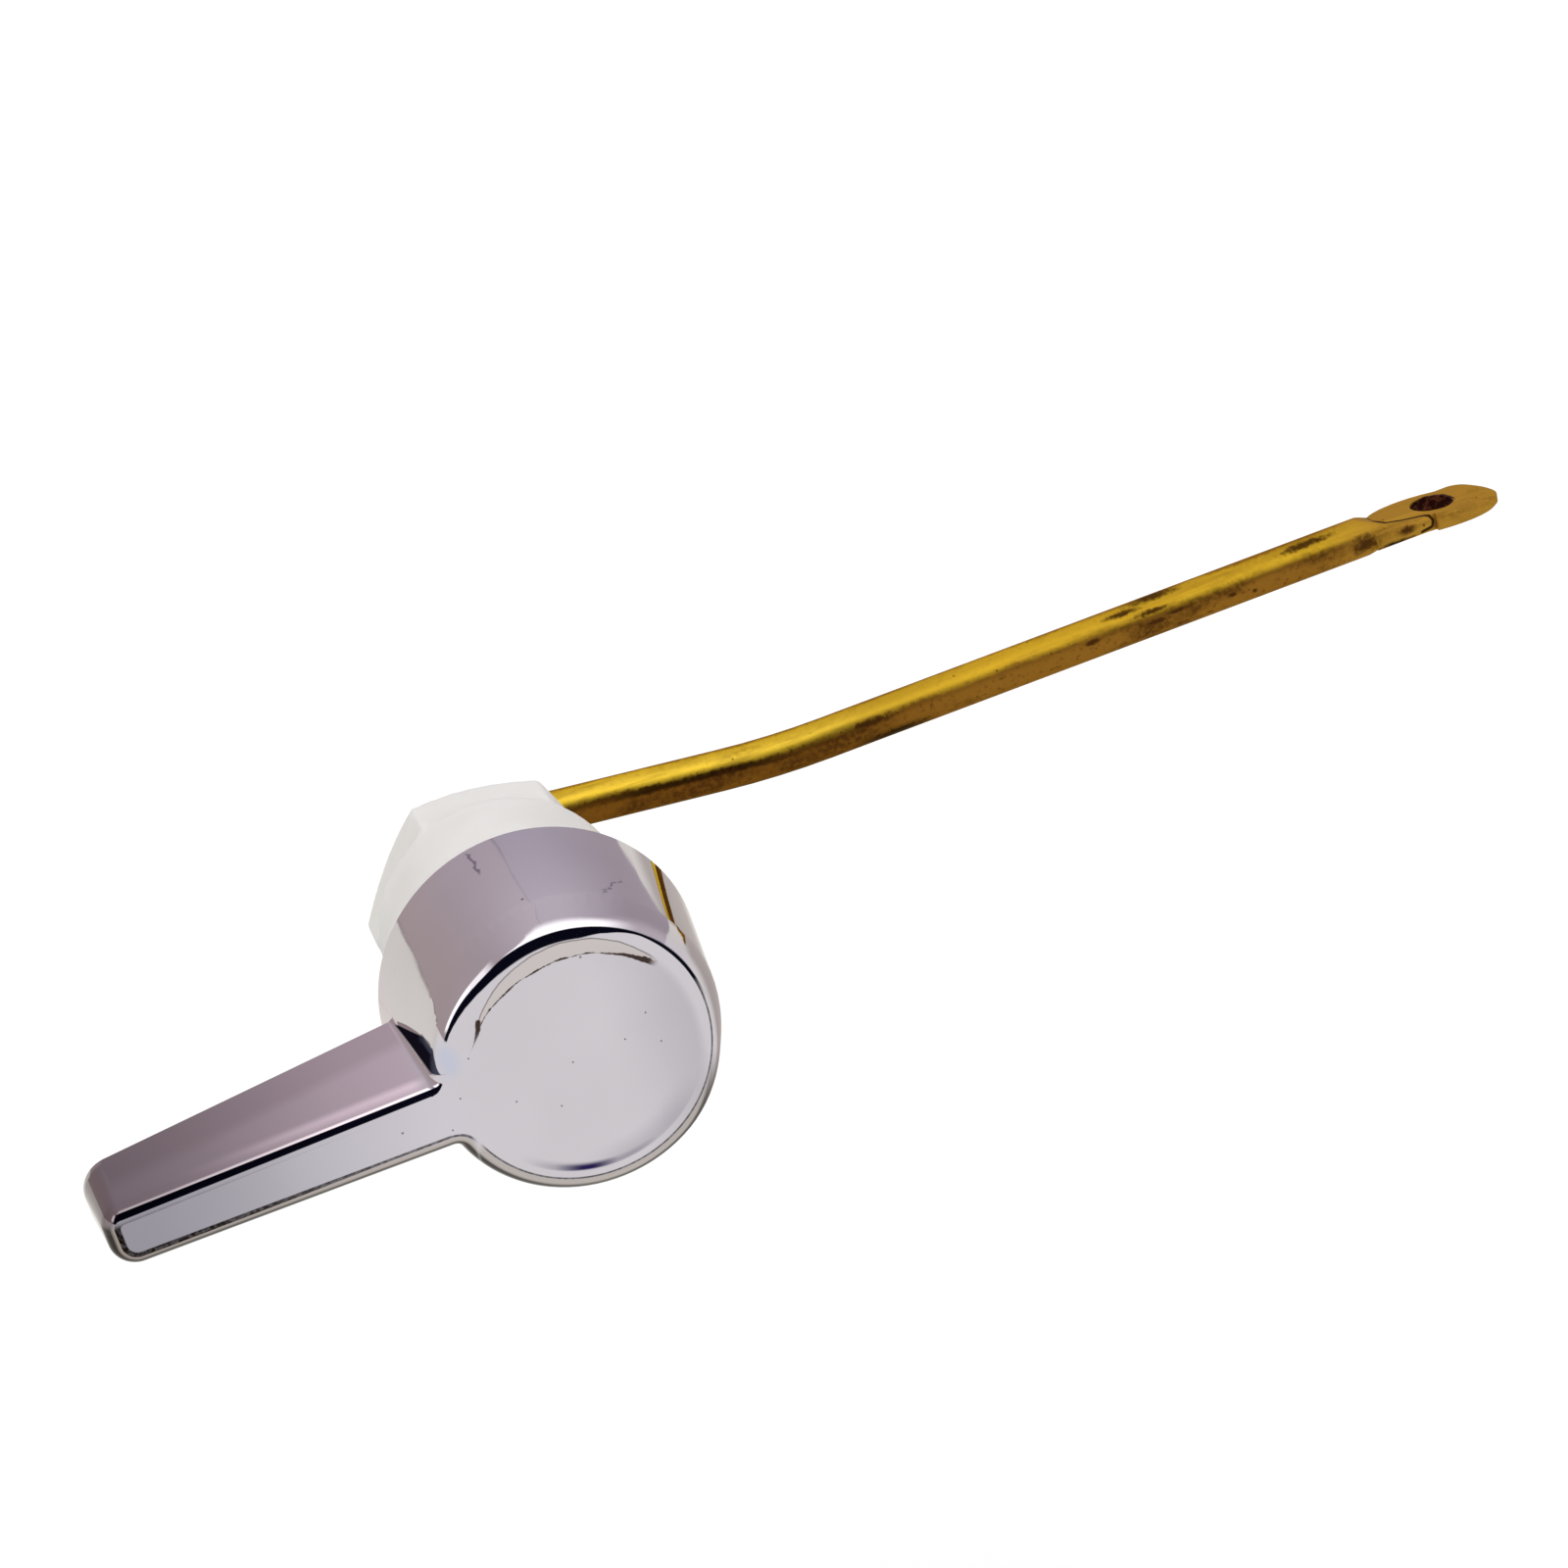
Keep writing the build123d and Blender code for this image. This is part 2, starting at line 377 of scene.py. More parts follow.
cornerLens = {
    "navy": (tone(9, 7, 26), tone(70, 73, 90)),
    "paleBlue": tone(186, 194, 216),
    # top of the lever: its height z this far in front of the origin, and its rise with y
    "shelfDepth": 19.0,
    "shelfHeight": 3.37,
    "shelfRise": 0.066,
    # the lens widens along y, and ends in y and on both sides in x
    "widens": (-6.6, -15.5),
    "width": 2.5,
    "end": (-19.3, -18.3),
    "right": (-12.8, -13.3),
    "left": (-16.6, -16.2),
    # painted highlight along its upper rim and at its end
    "rim": (-0.9, -0.3),
    "rimFrom": (-13.5, -16.5),
    "paleEnd": (-17.6, -18.9),
    "patchAt": (-12.4, -19.4, 4.6),
    "patchReach": (1.6, 3, 2.6),
}


# painted reflections: a dark lens in the corner over the lever's root, where the lever's top is mirrored,
# and a pale blue patch beside it
def rootCorner(tree, place, x, y, z, colour):
    inward = calc(tree, "ADD", y, cornerLens["shelfDepth"] * mm)
    shelf = calc(tree, "ADD", times(tree, inward, cornerLens["shelfRise"]), cornerLens["shelfHeight"] * mm)
    height = times(tree, calc(tree, "SUBTRACT", z, shelf), 1 / mm)
    start, full = cornerLens["widens"]
    values = {"Value": y, "From Min": start * mm, "From Max": full * mm, "To Max": cornerLens["width"]}
    width = put(tree, "ShaderNodeMapRange", values).outputs["Result"]
    width = times(tree, width, easeMm(tree, y, *cornerLens["end"]))
    over = calc(tree, "SUBTRACT", height, width)
    lens = times(tree, ease(tree, height, -0.06, 0.08), ease(tree, over, 0.1, -0.1))
    lens = times(tree, lens, easeMm(tree, x, *cornerLens["right"]), easeMm(tree, x, *cornerLens["left"]))
    away = reachTo(tree, place, cornerLens["patchAt"], cornerLens["patchReach"])
    colour = blend(tree, ease(tree, away, 1.0, 0.2, 0.0, 0.6), colour, cornerLens["paleBlue"])
    rim = times(tree, ease(tree, over, *cornerLens["rim"]), easeMm(tree, y, *cornerLens["rimFrom"]))
    pale = most(tree, rim, easeMm(tree, y, *cornerLens["paleEnd"]))
    return blend(tree, lens, colour, blend(tree, pale, *cornerLens["navy"])), lens


surfaceMarks = {
    # two scratches: angle, half width in degrees, span in y with softness; one leans, in degrees per m
    "bend": 9.0,
    "firstAt": 99.8,
    "firstWidth": (0.8, 0.2),
    "firstSpan": (-5.8, -1.2, 0.5),
    "otherAt": 28.5,
    "otherLean": 2150.0,
    "otherWidth": (0.9, 0.2),
    "otherSpan": (-14.5, -10.6, 0.8),
    # scattered pits: scale, size and choice of cells
    "pits": (230, (0.05, 0.025), (0.6, 0.65)),
    "speckSize": 0.11,
    # x, z of specks on the face
    "specks": (
        (-10.5, 4.1), (-12.5, 0.4), (-7.5, -2.1), (-3.5, -4.3), (-1.1, -0.3),
        (4.4, 0.0), (7.7, -1.6), (7.1, 1.9), (-14.2, -2.5), (-33.0, -3.2),
    ),
}


# two scratches on top of the hub, specks on the face and scattered pits
def smallMarks(tree, place, flat, y, angle, front, wander, fine, colour):
    bend = shift(tree, wander, surfaceMarks["bend"])
    lean = calc(tree, "ADD", calc(tree, "SUBTRACT", angle, surfaceMarks["firstAt"]), bend)
    first = ease(tree, calc(tree, "ABSOLUTE", lean), *surfaceMarks["firstWidth"])
    first = times(tree, first, betweenMm(tree, y, *surfaceMarks["firstSpan"]))
    lean = calc(tree, "ADD", angle, times(tree, y, surfaceMarks["otherLean"]))
    lean = calc(tree, "ADD", lean, calc(tree, "SUBTRACT", bend, surfaceMarks["otherAt"]))
    other = ease(tree, calc(tree, "ABSOLUTE", lean), *surfaceMarks["otherWidth"])
    other = times(tree, other, ease(tree, fine, 0.36, 0.56))
    other = times(tree, other, betweenMm(tree, y, *surfaceMarks["otherSpan"]))
    colour = blend(tree, times(tree, most(tree, first, other), 0.6), colour, chrome["violet"])
    pits = spots(tree, place, *surfaceMarks["pits"])
    size = surfaceMarks["speckSize"]
    for sx, sz in surfaceMarks["specks"]:
        away = reachTo(tree, flat, (sx, 0, sz), (size, 1, size))
        pits = most(tree, pits, times(tree, ease(tree, away, 1.1, 0.6), front))
    return blend(tree, times(tree, pits, 0.75), colour, chrome["brown"]), pits


def makeChrome():
    material, tree, place = startMaterial("chromePlate")
    x, y, z = split(tree, place)
    flat = put(tree, "ShaderNodeCombineXYZ", {"X": x, "Z": z}).outputs[0]
    radius = vector(tree, "LENGTH", flat).outputs["Value"]
    angle = times(tree, calc(tree, "ARCTAN2", z, x), 180 / pi)
    nearFace = easeMm(tree, y, *chrome["markDepth"])
    wander = noise(tree, place, *chrome["wander"])
    fine = noise(tree, place, *chrome["fine"])
    cloud = noise(tree, place, *chrome["cloud"])

    # painted shade: the face darker to the right, and the lever darker towards its tip
    facing = easeMm(tree, y, *chrome["tintDepth"])
    colour = darken(tree, chrome["plate"], ease(tree, cloud, 0.3, 0.7, 0.965, 1.0))
    right = times(tree, facing, easeMm(tree, x, *chrome["rightRun"]))
    colour = blend(tree, right, colour, chrome["faceRight"], "MULTIPLY")
    front = blend(tree, easeMm(tree, x, *chrome["frontRun"]), *chrome["leverFront"])
    sides = blend(tree, easeMm(tree, x, *chrome["sidesRun"]), *chrome["leverSides"])
    onSides = easeMm(tree, x, *chrome["sidesFrom"])
    onLever = most(tree, onSides, times(tree, facing, easeMm(tree, x, *chrome["frontFrom"])))
    colour = blend(tree, onLever, colour, blend(tree, facing, sides, front), "MULTIPLY")
    # painted highlight along the lever's upper edge
    edgeHighlight = times(tree, onSides, betweenMm(tree, y, *chrome["highlightSpan"]))
    edgeHighlight = times(tree, edgeHighlight, easeMm(tree, z, *chrome["highlightOver"]))
    edgeHighlight = times(tree, edgeHighlight, easeMm(tree, x, *chrome["highlightRun"]))
    colour = blend(tree, edgeHighlight, colour, chrome["leverHighlight"], "MULTIPLY")
    colour, line = paintedCrescent(tree, place, flat, z, angle, nearFace, wander, colour)
    colour = paintedLowReflection(tree, radius, angle, nearFace, colour)
    colour, edge = lowerEdges(tree, x, y, z, radius, angle, fine, colour)
    colour, lens = rootCorner(tree, place, x, y, z, colour)
    colour, pits = smallMarks(tree, place, flat, y, angle, nearFace, wander, fine, colour)

    # rougher on the pits, and along the painted reflection lines of the crescent and lower edges
    pitsAndPaintedLines = times(tree, most(tree, line, edge, pits), 0.25)
    rough = calc(tree, "ADD", ease(tree, fine, 0.45, 0.75, *chrome["gloss"]), pitsAndPaintedLines)
    ripple = {"Strength": 0.04, "Distance": 0.00005, "Height": noise(tree, place, *chrome["ripple"])}
    normal = put(tree, "ShaderNodeBump", ripple).outputs[0]
    # where the dark lens is painted, the plate is not metal, so the painted colour shows
    values = {
        "Base Color": colour, "Roughness": rough, "Normal": normal,
        "Metallic": ease(tree, lens, 0.0, 1.0, 1.0, 0.0),
        "IOR": ease(tree, lens, 0.0, 1.0, 1.5, 1.02),
    }
    finishMaterial(tree, put(tree, "ShaderNodeBsdfPrincipled", values).outputs[0])
    return material


# buffed round edge of the hub's face, mm and degrees
hubEdge = {
    "frontRadius": 14.55,
    "slope": 2.1 / 19.0,
    # radius and end angle of each arc from face to side, and the steps in each
    "arcs": ((7.0, 20.0), (2.4, 42.0), (6.0, 83.7)),
    "steps": 24,
    # rings drawn into the face, each this much smaller, and levels of the cuts round the side
    "rings": (0.99, 0.98, 0.97, 0.965, 0.96, 0.955, 0.95, 0.945, 0.94),
    "loops": (-18.0, -17.4, -16.8, -16.2, -15.6, -15.0, -14.4),
    "leverCut": -12.6,
    # the buffing fades out between these angles round the hub
    "lowFade": (-60, 10),
    "highFade": (118, 157),
    # what still counts as in the face and on the side
    "flatNormal": 0.9999,
    "faceSlack": 0.01,
    "sideSlack": 0.05,
}


def edgeProfile():
    points = [(0.0, 0.0)]
    angle = 0.0
    for radius, end in hubEdge["arcs"]:
        step = (radians(end) - angle) / hubEdge["steps"]
        for k in range(hubEdge["steps"]):
            middle = angle + step * (k + 0.5)
            r, y = points[-1]
            points.append((r + radius * cos(middle) * step, y + radius * sin(middle) * step))
        angle = radians(end)
    endR, endY = points[-1]
    startR = hubEdge["frontRadius"] + hubEdge["slope"] * endY - endR
    # seen from the inner corner: angle and distance of each point of the profile
    polar = [(atan2(endY - y, r), hypot(r, endY - y)) for r, y in points]
    return startR, chrome["faceY"] + endY, sorted(polar)


def lookUp(table, value):
    for (a, p), (b, q) in zip(table, table[1:]):
        if value <= b:
            return p + (q - p) * max(0.0, value - a) / (b - a) if b > a else q
    return table[-1][1]


def inHubFace(face):
    depth = face.calc_center_median().y / mm - chrome["faceY"]
    return face.normal.y < -hubEdge["flatNormal"] and abs(depth) < hubEdge["faceSlack"]


def onHubSide(face):
    for v in face.verts:
        reach = hubEdge["frontRadius"] + hubEdge["slope"] * (v.co.y / mm - chrome["faceY"])
        if abs(hypot(v.co.x, v.co.z) / mm - reach) > hubEdge["sideSlack"]:
            return False
    return True


def makeHandle():
    bm = copyNode("handle")
    bm.normal_update()
    cut = Vector((hubEdge["leverCut"] * mm, 0, 0))
    cutAcross(bm, [f for f in bm.faces if inHubFace(f)], cut, (1, 0, 0))
    bm.normal_update()
    # rings inside the hub's face, drawn towards the spindle
    disc = {f for f in bm.faces if inHubFace(f) and f.calc_center_median().x > cut.x}
    rim = [e for f in disc for e in f.edges if sum(other in disc for other in e.link_faces) == 1]
    bmesh.ops.delete(bm, geom=list(disc), context="FACES_ONLY")
    for share in hubEdge["rings"]:
        made = bmesh.ops.extrude_edge_only(bm, edges=rim)["geom"]
        ends = {v for v in made if isinstance(v, bmesh.types.BMVert)}
        for v in ends:
            v.co.x *= share
            v.co.z *= share
        rim = [e for e in made if isinstance(e, bmesh.types.BMEdge) and set(e.verts) <= ends]
    bmesh.ops.contextual_create(bm, geom=rim)
    bmesh.ops.recalc_face_normals(bm, faces=bm.faces)
    for level in hubEdge["loops"]:
        cutAcross(bm, [f for f in bm.faces if onHubSide(f)], (0, level * mm, 0), (0, 1, 0))

    startR, endY, polar = edgeProfile()
    print("hub edge starts at radius", round(startR, 2), "and ends at y", round(endY, 2))
    for v in bm.verts:
        x, y, z = v.co / mm
        r = hypot(x, z)
        turn = degrees(atan2(z, x))
        amount = softStep(turn, *hubEdge["lowFade"]) * (1 - softStep(turn, *hubEdge["highFade"]))
        if r <= startR or y >= endY or amount <= 0:
            continue
        bearing = atan2(endY - y, r - startR)
        was = hypot(endY - y, r - startR)
        now = lookUp(polar, bearing)
        if now >= was:
            continue
        now = was + (now - was) * amount
        newR = startR + now * cos(bearing)
        v.co = Vector((x * newR / r, endY - now * sin(bearing), z * newR / r)) * mm
    piece = makePiece(bm, "chromeHandle", "handle", "lever", makeChrome(), chrome["sharp"])
    weightNormals(piece)


# White lock nut and threaded bushing

plastic = {
    "nut": tone(238, 236, 233),
    "nutShade": tone(234, 231, 227),
    "bushing": tone(228, 226, 222),
    "bushingShade": tone(222, 218, 212),
    # noise: scale, detail
    "cloud": (110, 2),
    "fine": (1800, 2),
    "gloss": (0.34, 0.44),
    # light under the skin: share, reach of red, green and blue, depth in m
    "milkiness": 0.6,
    "spread": (1.0, 0.95, 0.85),
    "depth": 0.0022,
    # the nut's skin: no sharp edge, grain in mm, rounds of smoothing
    "sharp": 180,
    "grain": 0.32,
    "rounding": 9,
}


def makePlastic(name, colour, shade):
    material, tree, place = startMaterial(name)
    cloud = noise(tree, place, *plastic["cloud"])
    fine = noise(tree, place, *plastic["fine"])
    mix = blend(tree, ease(tree, cloud, 0.3, 0.75), colour, shade)
    rough = ease(tree, fine, 0.35, 0.7, *plastic["gloss"])
    skin = put(tree, "ShaderNodeBump", {"Strength": 0.05, "Distance": 0.00005, "Height": fine})
    values = {
        "Base Color": mix, "Roughness": rough, "Normal": skin.outputs[0], "IOR": 1.5,
        "Subsurface Weight": plastic["milkiness"],
        "Subsurface Radius": plastic["spread"],
        "Subsurface Scale": plastic["depth"],
    }
    finishMaterial(tree, put(tree, "ShaderNodeBsdfPrincipled", values).outputs[0])
    return material


def makeLockNut():
    bm = copyNode("lock_nut")
    material = makePlastic("milkyNut", plastic["nut"], plastic["nutShade"])
    piece = makePiece(bm, "lockNut", "lock_nut", "nut", material, plastic["sharp"])
    # moulded edges: an even skin, relaxed
    skin = piece.modifiers.new("evenSkin", "REMESH")
    skin.mode = "VOXEL"
    skin.voxel_size = plastic["grain"] * mm
    skin.use_smooth_shade = True
    relax = piece.modifiers.new("softEdges", "SMOOTH")
    relax.factor = 0.5
    relax.iterations = plastic["rounding"]


# thread on the bushing's shank, mm
thread = {
    "sharp": 30,
    "crest": 7.68,
    "root": 6.95,
    "sunk": 6.7,
    "pitch": 2.2,
    "start": 7.6,
    "end": 30.2,
    "runOut": 2.0,
    "stepsPerTurn": 48,
    # half widths of the rib at its foot and crest, in halves of the pitch
    "footShare": 0.75,
    "crestShare": 0.2,
    # where the CAD's plain shank lies: past this y, between these radii
    "neckEnd": 6.49,
    "shank": (6.75, 7.78),
}


def makeBushing():
    bm = copyNode("bushing")
    # the shank shrinks to the thread's root
    inner, outer = thread["shank"]
    for v in bm.verts:
        r = hypot(v.co.x, v.co.z) / mm
        if v.co.y / mm > thread["neckEnd"] and inner < r < outer:
            shrink = min(1.0, thread["root"] / r)
            v.co.x *= shrink
            v.co.z *= shrink
    # one rib, wound round the shank
    half = thread["pitch"] / 2
    foot = half * thread["footShare"]
    top = half * thread["crestShare"]
    sunk = thread["sunk"]
    crest = thread["crest"]
    profile = ((sunk, -foot), (crest, -top), (crest, top), (sunk, foot))
    ribVerts = [bm.verts.new((r * mm, (thread["start"] + y) * mm, 0)) for r, y in profile]
    rib = bm.faces.new(ribVerts)
    turns = (thread["end"] - thread["start"]) / thread["pitch"]
    steps = round(turns * thread["stepsPerTurn"])
    rise = (0, (thread["end"] - thread["start"]) / steps * mm, 0)
    before = set(bm.verts)
    bmesh.ops.spin(bm, geom=withEdges([rib]), cent=(0, 0, 0), axis=(0, -1, 0), dvec=rise,
                   angle=turns * 2 * pi, steps=steps, use_merge=False, use_duplicate=False)
    # run-out at both ends
    for v in set(ribVerts) | (set(bm.verts) - before):
        r = hypot(v.co.x, v.co.z) / mm
        y = v.co.y / mm
        ramp = min(softStep(y, thread["start"] - half, thread["start"] + thread["runOut"]),
                   1 - softStep(y, thread["end"] - thread["runOut"], thread["end"] + half))
        newR = sunk + (r - sunk) * ramp
        v.co.x *= newR / r
        v.co.z *= newR / r
    bmesh.ops.recalc_face_normals(bm, faces=bm.faces)
    material = makePlastic("bushingPlastic", plastic["bushing"], plastic["bushingShade"])
    makePiece(bm, "bushingSleeve", "bushing", "bushing", material, thread["sharp"])


# Brass trip arm, polished near the nut and tarnished towards the tip
# lengths in mm, angles in degrees round the rod, 0 in front and 90 on top

brass = {
    "sharp": 55,
    # axis of the rod: y, and the x where it levels out after this drop
    "offset": 42.3,
    "kink": 36.8,
    "drop": 4.668,
    # noise: scale, detail, roughness, stretch
    "cloud": (160, 4, 0.6, (0.45, 1, 1)),
    "fine": (1500, 4, 0.65),
    "drawn": (900, 3, 0.6, (0.08, 1, 1)),
    # colours, in pairs from new to old
    "bright": (tone(236, 197, 54), tone(222, 179, 46)),
    "under": (tone(118, 76, 22), tone(146, 101, 34)),
    "rim": tone(160, 110, 30),
    "glint": tone(255, 216, 70),
    "tip": tone(186, 140, 50),
    "sheen": (0.95, 0.72, 0.3, 1),
    "tarnishAndShade": tone(72, 41, 14),
    "streak": tone(30, 15, 5),
    "rust": (tone(38, 10, 8), tone(104, 56, 36)),
    # x over which the brass turns old, the tip begins and a veil lies over the rod
    "oldRun": (38, 66),
    "tipRun": (104, 113),
    "veilRun": (42, 58, 8),
    # angles of the bands along the rod, which wander by cloud and by fine noise
    "cloudShake": 46.0,
    "fineShake": 26.0,
    "rimAngles": (78, 102),
    "glintAngles": (40, 62, 15),
    "underAngles": (36, 14),
    # painted reflection as a black streak: angles, end and start in x
    "streakShake": 16.0,
    "streakAngles": (8, 28, 6),
    "streakEnd": (48, 32),
    "streakStart": (14, 22, 0.5, 1.0),
    # tarnish with painted shade: share by angle, heavier below, and painted shade on the underside near the
    # nut
    "tarnishAndShadeAngles": (42, 16, 0.2, 0.85),
    "shadedAngles": (-25, -62),
    # specks: scale, size and choice of cells
    "specks": (620, (0.14, 0.07), (0.62, 0.66)),
    "spotShake": 1.8,
    # centre and reach of each brown patch, then of each black one
    "patches": (
        ((48.0, 40.1, -3.9), (3.6, 1.0, 0.5)),
        ((80.3, 41.1, -2.65), (2.4, 0.8, 0.3)),
        ((83.4, 40.4, -3.35), (2.6, 0.7, 0.3)),
        ((86.5, 40.0, -4.2), (2.2, 0.7, 0.28)),
        ((83.8, 40.0, -4.55), (2.0, 0.7, 0.4)),
        ((75.8, 40.0, -4.2), (1.1, 0.8, 0.35)),
        ((93.3, 39.9, -4.75), (0.7, 0.8, 0.35)),
        ((96.1, 40.0, -5.35), (0.35, 0.8, 0.3)),
        ((103.6, 41.2, -2.6), (3.8, 1.0, 0.4)),
        ((84.5, 42.0, -2.3), (3.5, 1.0, 0.4)),
        ((110.3, 39.9, -4.75), (1.8, 1.3, 1.2)),
        ((115.3, 39.1, -4.6), (1.3, 0.8, 0.5)),
    ),
    # black patches low on the rod
    "blackPatches": (
        ((51.2, 40.6, -6.2), (4.4, 1.6, 0.8)),
        ((113.8, 39.0, -5.7), (2.6, 1.2, 0.45)),
    ),
    # line round the tongue that the press left
    "crease": (
        (112.6, 44.3, -3.5), (113.9, 41.5, -3.7), (115.6, 40.7, -3.84), (117.84, 40.1, -3.92),
        (118.5, 39.7, -4.0), (118.85, 39.2, -4.55), (118.5, 38.98, -5.2), (117.2, 39.0, -5.45),
    ),
    # rust in and round the hole
    "rustAt": (120.75, 43.4, -5.14),
    "rustReach": (3.05, 3.05, 1.4),
    "rustShake": 0.25,
}


def makeBrass():
    material, tree, place = startMaterial("tarnishedBrass")
    x, y, z = split(tree, place)
    run = calc(tree, "MINIMUM", x, brass["kink"] * mm)
    lift = calc(tree, "SUBTRACT", z, times(tree, run, -brass["drop"] / brass["kink"]))
    angle = calc(tree, "ARCTAN2", lift, calc(tree, "SUBTRACT", brass["offset"] * mm, y))
    angle = times(tree, angle, 180 / pi)
    cloud = noise(tree, place, *brass["cloud"])
    fine = noise(tree, place, *brass["fine"])
    drawn = noise(tree, place, *brass["drawn"])
    shake = shift(tree, cloud, brass["cloudShake"])
    shake = calc(tree, "ADD", shake, shift(tree, fine, brass["fineShake"]))
    level = calc(tree, "ADD", angle, shake)
    old = easeMm(tree, x, *brass["oldRun"])
    onTip = easeMm(tree, x, *brass["tipRun"])

    bright = blend(tree, old, *brass["bright"])
    colour = blend(tree, ease(tree, level, *brass["rimAngles"]), bright, brass["rim"])
    glint = times(tree, between(tree, level, *brass["glintAngles"]), ease(tree, old, 0.0, 0.4, 0.9, 0.0))
    colour = blend(tree, glint, colour, brass["glint"])
    # painted shade: the underside darker; the same colour also serves the veil and the drawn lines
    under = blend(tree, old, *brass["under"])
    colour = blend(tree, ease(tree, level, *brass["underAngles"]), colour, under)
    colour = blend(tree, times(tree, betweenMm(tree, x, *brass["veilRun"]), 0.25), colour, under)
    colour = blend(tree, times(tree, onTip, 0.85), colour, brass["tip"])
    colour = blend(tree, ease(tree, drawn, 0.5, 0.75, 0.0, 0.35), colour, under)

    # painted reflection: a black streak under the bright side near the nut
    wave = calc(tree, "ADD", angle, shift(tree, fine, brass["streakShake"]))
    streak = times(tree, between(tree, wave, *brass["streakAngles"]), easeMm(tree, x, *brass["streakEnd"]))
    streak = times(tree, streak, ease(tree, cloud, 0.3, 0.55, 0.6, 1.0))
    streak = times(tree, streak, easeMm(tree, x, *brass["streakStart"]))
    colour = blend(tree, streak, colour, brass["streak"])

    # mottled tarnish, with painted shade making it heavier below
    below = times(tree, ease(tree, angle, *brass["tarnishAndShadeAngles"]), ease(tree, onTip, 0.0, 1.0, 1.0, 0.4))
    mottle = times(tree, ease(tree, cloud, 0.42, 0.6), ease(tree, fine, 0.35, 0.6, 0.35, 1.0), below)
    grain = times(tree, ease(tree, fine, 0.52, 0.68), below, 0.65)
    shadedUnderside = times(tree, ease(tree, angle, *brass["shadedAngles"]), ease(tree, old, 1.0, 0.0), 0.75)

    def within(marks):
        inside = 0.0
        for centre, reach in marks:
            away = reachTo(tree, place, centre, reach)
            away = calc(tree, "ADD", away, shift(tree, fine, brass["spotShake"]))
            inside = most(tree, inside, ease(tree, away, 1.4, 0.3))
        return inside

    patch = most(tree, mottle, grain, shadedUnderside, times(tree, within(brass["patches"]), 0.95))
    patch = most(tree, patch, times(tree, spots(tree, place, *brass["specks"]), 0.7))
    colour = blend(tree, patch, colour, brass["tarnishAndShade"])
    colour = blend(tree, within(brass["blackPatches"]), colour, brass["streak"])

    # painted shade: the crease is darkened, and the bump dents it
    gap = calc(tree, "ADD", pathDistance(tree, place, brass["crease"]), times(tree, fine, 0.16))
    crease = ease(tree, gap, 0.4, 0.24)
    colour = blend(tree, times(tree, crease, 0.95), colour, brass["streak"])
    away = reachTo(tree, place, brass["rustAt"], brass["rustReach"])
    away = calc(tree, "ADD", away, shift(tree, fine, brass["rustShake"]))
    rust = ease(tree, away, 1.05, 0.95)
    flakes = blend(tree, ease(tree, fine, 0.48, 0.66, 0.0, 0.8), *brass["rust"])
    colour = blend(tree, rust, colour, flakes)

    rough = calc(tree, "ADD", ease(tree, old, 0.0, 1.0, 0.4, 0.45), times(tree, patch, 0.15))
    height = calc(tree, "ADD", fine, calc(tree, "SUBTRACT", drawn, times(tree, crease, 2.0)))
    rugged = ease(tree, old, 0.0, 1.0, 0.1, 0.25)
    dents = put(tree, "ShaderNodeBump", {"Strength": rugged, "Distance": 0.0001, "Height": height})
    metal = calc(tree, "SUBTRACT", ease(tree, old, 0.0, 1.0, 0.7, 0.62), times(tree, onTip, 0.17))
    values = {
        "Base Color": colour, "Roughness": rough, "Normal": dents.outputs[0],
        "Metallic": times(tree, metal, ease(tree, rust, 0.0, 1.0, 1.0, 0.1)),
        "Specular Tint": brass["sheen"], "IOR": 1.12,
    }
    finishMaterial(tree, put(tree, "ShaderNodeBsdfPrincipled", values).outputs[0])
    return material


# flat end of the arm, mm
flatEnd = {
    # middle of its thickness: x, z and slope
    "start": (111.7, -4.668),
    "slope": -0.0524,
    "cuts": (121.2, 122.6, 123.4, 124.0, 124.6, 125.2, 125.8, 126.2, 126.7, 127.2),
    # it thins towards its end, at the far side by this share only
    "thinFrom": 119.5,
    "thinTo": 128.3,
    "thinBy": 0.7,
    "nearSide": 40.5,
    "farSide": 45.0,
    "farShare": 0.2,
    # its far edge is a little fuller than an oval
    "fullFrom": 122.0,
    "fullAt": 125.2,
    "fullUntil": 125.6,
    "fullTo": 127.6,
    "fullBy": 1.1,
    # middle line: x, y and slope
    "middle": (120.0, 42.9, -0.24),
    "hole": (120.388, 43.09),
    "holeRim": 2.9,
}


def makeTripArm():
    bm = copyNode("trip_arm")
    for level in flatEnd["cuts"]:
        faces = [f for f in bm.faces if max(v.co.x for v in f.verts) / mm > flatEnd["thinFrom"]]
        cutAcross(bm, faces, (level * mm, 0, 0), (1, 0, 0))
    startX, startZ = flatEnd["start"]
    middleX, middleY, middleSlope = flatEnd["middle"]
    holeX, holeY = flatEnd["hole"]
    for v in bm.verts:
        x, y, z = v.co / mm
        if x < flatEnd["thinFrom"]:
            continue
        above = z - startZ - flatEnd["slope"] * (x - startX)
        if above > 0:
            share = 1 - (1 - flatEnd["farShare"]) * softStep(y, flatEnd["nearSide"], flatEnd["farSide"])
            share *= softStep(x, flatEnd["thinFrom"], flatEnd["thinTo"])
            v.co.z -= flatEnd["thinBy"] * share * above * mm
        far = y > middleY + middleSlope * (x - middleX)
        if far and hypot(x - holeX, y - holeY) > flatEnd["holeRim"]:
            full = softStep(x, flatEnd["fullFrom"], flatEnd["fullAt"])
            full *= 1 - softStep(x, flatEnd["fullUntil"], flatEnd["fullTo"])
            v.co.y += flatEnd["fullBy"] * full * mm
    piece = makePiece(bm, "tripArm", "trip_arm", "lever", makeBrass(), brass["sharp"])
    weightNormals(piece)


